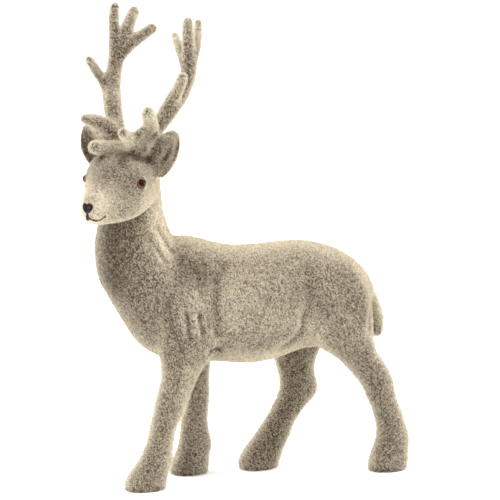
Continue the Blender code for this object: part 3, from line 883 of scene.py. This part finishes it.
# %% [markdown]
# ## Glass eyes
# A doll's eye is a small glossy ball with a wide black pupil in a thin amber iris. Here it is turned like a
# bowl: a half circle carried round the line of sight. Each point keeps its angle from that line, "gaze", so
# that the painted rings lie round the pupil wherever the eye looks.

# %% Turn the eyes
EYE_ROWS = 33
EYE_SIDES = 48
EYE_FIT = 0.985
GAZE_OUT = {"left": math.radians(63), "right": math.radians(68)}
GAZE_UP = math.radians(24)


def eye_ball(side, outward):
    """A ball by tilt and turn: the cosine of tilt along the sight, its sine along a turning side."""
    sight = math.cos(GAZE_OUT[side]) * FORWARD + outward * math.sin(GAZE_OUT[side]) * LEFTWARD
    sight = math.cos(GAZE_UP) * sight + math.sin(GAZE_UP) * UPWARD
    across = np.cross(sight, UPWARD)
    across /= np.linalg.norm(across)
    over = np.cross(across, sight)
    tilt = np.linspace(0, np.pi, EYE_ROWS)[1:-1, None, None]
    turn = np.linspace(0, 2 * np.pi, EYE_SIDES, endpoint=False)[None, :, None]
    ring = np.cos(tilt) * sight + np.sin(tilt) * (np.cos(turn) * across + np.sin(turn) * over)
    grid = np.vstack([sight, ring.reshape(-1, 3), -sight]) * eye_radius * EYE_FIT + eye_middles[side]
    rows = np.arange((EYE_ROWS - 3) * EYE_SIDES).reshape(-1, EYE_SIDES) + 1
    beside = np.roll(rows, -1, axis=1)
    squares = np.stack([rows, rows + EYE_SIDES, beside + EYE_SIDES, beside], -1).reshape(-1, 4)
    first = np.arange(EYE_SIDES) + 1
    last = first + (EYE_ROWS - 3) * EYE_SIDES
    front = np.stack([np.zeros(EYE_SIDES, int), first, np.roll(first, -1)], 1)
    back = np.stack([np.full(EYE_SIDES, len(grid) - 1), np.roll(last, -1), last], 1)
    mesh = bpy.data.meshes.new("glass_eye_" + side)
    mesh.from_pydata((grid * MM).tolist(), [], squares.tolist() + front.tolist() + back.tolist())
    mesh.polygons.foreach_set("use_smooth", np.ones(len(mesh.polygons), bool))
    piece = bpy.data.objects.new("glass_eye_" + side, mesh)
    bpy.context.scene.collection.objects.link(piece)
    edited(piece, lambda editor: bmesh.ops.recalc_face_normals(editor, faces=editor.faces))
    toward_sight = (grid - eye_middles[side]) @ sight / (eye_radius * EYE_FIT)
    keep(piece, "gaze", np.degrees(np.arccos(np.clip(toward_sight, -1, 1))))
    print("eye", side, "has", len(grid), "points")
    return piece


# %% [markdown]
# ## Glass with an amber iris
# The iris is painted behind clear glass, so the front is smooth and bright. A fine noise mixes two ambers,
# and two soft steps along the gaze angle, in degrees, part the pupil, the iris and a dark rim, which is
# painted shadow of the lids on the ball's edge.

# %% Glass for the eyes
IRIS_STREAK = 0.4
PUPIL = "#060403"
IRIS_DEEP = "#6A2C10"
IRIS_LIGHT = "#B0552A"
# Painted shadow of the lids, on the ball's edge
LID_SHADOW = "#160D07"
PUPIL_EDGE = (59, 64)
LID_SHADOW_EDGE = (77, 84)


def eye_material():
    """Glass doll's eye: black pupil and amber iris with a very smooth, glossy front."""
    made, output = new_material("amber_glass_eye")
    tree = made.node_tree
    gaze = add(tree, "ShaderNodeAttribute", {"attribute_name": "gaze"}).outputs["Fac"]
    place = add(tree, "ShaderNodeTexCoord").outputs["Object"]
    noise = {"Scale": 1 / (IRIS_STREAK * MM), "Detail": 2}
    streak = add(tree, "ShaderNodeTexNoise", noise, {"Vector": place}).outputs["Fac"]
    ambers = {"data_type": "RGBA", 6: linear(IRIS_DEEP), 7: linear(IRIS_LIGHT)}
    iris = add(tree, "ShaderNodeMix", ambers, {0: streak}).outputs[2]
    edge, rim = (
        add(tree, "ShaderNodeMapRange", {"From Min": start, "From Max": end}, {"Value": gaze}).outputs[0]
        for start, end in (PUPIL_EDGE, LID_SHADOW_EDGE)
    )
    # The dark rim is painted shadow of the lids
    lid_shadowed = {"data_type": "RGBA", 7: linear(LID_SHADOW)}
    ringed = add(tree, "ShaderNodeMix", lid_shadowed, {0: rim, 6: iris}).outputs[2]
    with_pupil = {"data_type": "RGBA", 6: linear(PUPIL)}
    colour = add(tree, "ShaderNodeMix", with_pupil, {0: edge, 7: ringed}).outputs[2]
    settings = {"Roughness": 0.08, "IOR": 1.5, "Specular IOR Level": 0.12}
    shader = add(tree, "ShaderNodeBsdfPrincipled", settings, {"Base Color": colour})
    tree.links.new(shader.outputs[0], output.inputs["Surface"])
    return made


glass = eye_material()
for side, outward in (("left", 1), ("right", -1)):
    eye = eye_ball(side, outward)
    eye.data.materials.append(glass)
    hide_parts("eye_" + side)
    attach(eye, "root")

# %% [markdown]
# ## Floor
# The picture is a product picture on white. The figure stands on a wide sheet of pale paper, so that the feet
# have something to throw a soft shadow on.

# %% Floor
# In metres, to either side
FLOOR_REACH = 40
PAPER = "#F7F7F5"
corners_of_floor = [(x * FLOOR_REACH, y * FLOOR_REACH, 0) for x, y in ((-1, -1), (1, -1), (1, 1), (-1, 1))]
floor_mesh = bpy.data.meshes.new("floor")
floor_mesh.from_pydata(corners_of_floor, [], [(0, 1, 2, 3)])
floor = bpy.data.objects.new("floor", floor_mesh)
bpy.context.scene.collection.objects.link(floor)
paper, paper_output = new_material("white_paper_floor")
matt = {"Base Color": linear(PAPER), "Roughness": 0.9}
paper_shader = add(paper.node_tree, "ShaderNodeBsdfPrincipled", matt)
paper.node_tree.links.new(paper_shader.outputs[0], paper_output.inputs["Surface"])
floor_mesh.materials.append(paper)

# %% [markdown]
# ## Light
# A white world lights everything evenly. Three wide suns model the form: one from high up, and two low ones
# from behind on either side, which catch the tips of the fibres and draw the pale outline.

# %% Lights
WORLD_STRENGTH = 1.1
world = bpy.data.worlds.new("white_studio")
world.use_nodes = True
world.node_tree.nodes["Background"].inputs["Color"].default_value = (1, 1, 1, 1)
world.node_tree.nodes["Background"].inputs["Strength"].default_value = WORLD_STRENGTH
bpy.context.scene.world = world


def soft_sun(name, strength, spread, azimuth, elevation):
    """A sun light as wide as a large soft box, shining from the azimuth and elevation in degrees."""
    lamp = bpy.data.lights.new(name, "SUN")
    lamp.energy = strength
    lamp.angle = math.radians(spread)
    shown = bpy.data.objects.new(name, lamp)
    shown.rotation_euler = (math.radians(90 - elevation), 0, math.radians(azimuth))
    bpy.context.scene.collection.objects.link(shown)


soft_sun("top_light", strength=1.8, spread=60, azimuth=60, elevation=70)
soft_sun("left_rim_light", strength=2.6, spread=40, azimuth=-40, elevation=25)
soft_sun("right_rim_light", strength=3.2, spread=40, azimuth=180, elevation=25)

# %% [markdown]
# ## Camera
# The camera stands well back with a long lens, as for a catalogue, so that near and far legs keep their
# sizes. It looks at the animal's left side, a little from the front and ten degrees above level.

# %% Camera
# The distance and the nearest depth are in metres, the lens and its sensor in millimetres.
TARGET = np.array((-2.977, 7.895, 132.7)) * MM
DISTANCE = 1.4047
LENS = 176.2
SENSOR = 36
NEAREST_SEEN = 0.05
AZIMUTH = math.radians(72)
ELEVATION = math.radians(10)
camera = bpy.data.objects.new("camera", bpy.data.cameras.new("camera"))
bpy.context.scene.collection.objects.link(camera)
level = math.cos(ELEVATION)
away = np.array((math.sin(AZIMUTH) * level, -math.cos(AZIMUTH) * level, math.sin(ELEVATION)))
camera.location = TARGET + DISTANCE * away
camera.rotation_euler = (math.radians(90) - ELEVATION, 0, AZIMUTH)
camera.data.lens = LENS
camera.data.sensor_width = SENSOR
camera.data.clip_start = NEAREST_SEEN
bpy.context.scene.camera = camera
bpy.context.scene.view_settings.view_transform = "Standard"
